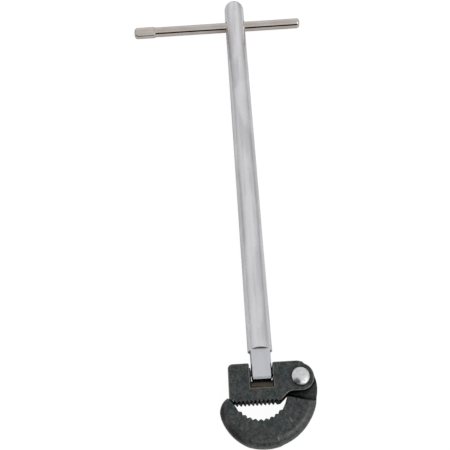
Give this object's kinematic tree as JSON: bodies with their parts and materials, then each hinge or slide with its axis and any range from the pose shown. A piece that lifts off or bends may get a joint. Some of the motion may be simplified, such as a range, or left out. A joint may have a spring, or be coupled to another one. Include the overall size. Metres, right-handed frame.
{
  "type": "basin wrench",
  "caption": "Basin wrench with a long round shaft, a sliding T-bar handle and a swivelling head whose spring-closed hook jaw grips nuts against toothed jaws.",
  "frame": {"origin": "bottom centre of the whole tool, lying on its back", "axes": "+Y along the shaft from the jaws to the T-bar, +Z out of the front of the jaws, +X towards the hook's rivet"},
  "size_m": [0.1094, 0.2862, 0.0147],
  "materials": {
    "zinc_plate": "satin zinc plate over drawn steel bar",
    "nickel_plate": "polished nickel plate",
    "black_oxide_steel": "mottled black oxide over forged steel, worn at the edges",
    "bright_rivet_steel": "bright zinc, cold headed",
    "pin_steel": "plain ground steel",
    "spring_steel": "oil-tempered, dark brown"
  },
  "bodies": {
    "rod": {"shaft": "zinc_plate"},
    "handle_bar": {"t_bar": "nickel_plate"},
    "head": {"head_block": "black_oxide_steel", "head_pin": "pin_steel", "friction_spring": "spring_steel", "hook_rivet": "bright_rivet_steel", "hook_spring": "spring_steel"},
    "hook": {"hook_jaw": "black_oxide_steel"}
  },
  "joints": [
    {"name": "t_bar_slide", "type": "slide", "parent": "rod", "child": "handle_bar", "axis": [1, 0, 0], "range_m": [-0.036, 0.0465]},
    {"name": "head_swivel", "type": "hinge", "parent": "rod", "child": "head", "pos_m": [0.01225, -0.1066, 0.00635], "axis": [1, 0, 0], "range_deg": [-90, 90], "deforming": ["friction_spring"]},
    {"name": "hook_swing", "type": "hinge", "parent": "head", "child": "hook", "pos_m": [0.03115, -0.1106, 0.00635], "axis": [0, 0, 1], "range_deg": [0, 90], "stiffness_Nm_per_rad": 0.03, "springref_deg": -40.11, "deforming": ["hook_spring"]}
  ]
}
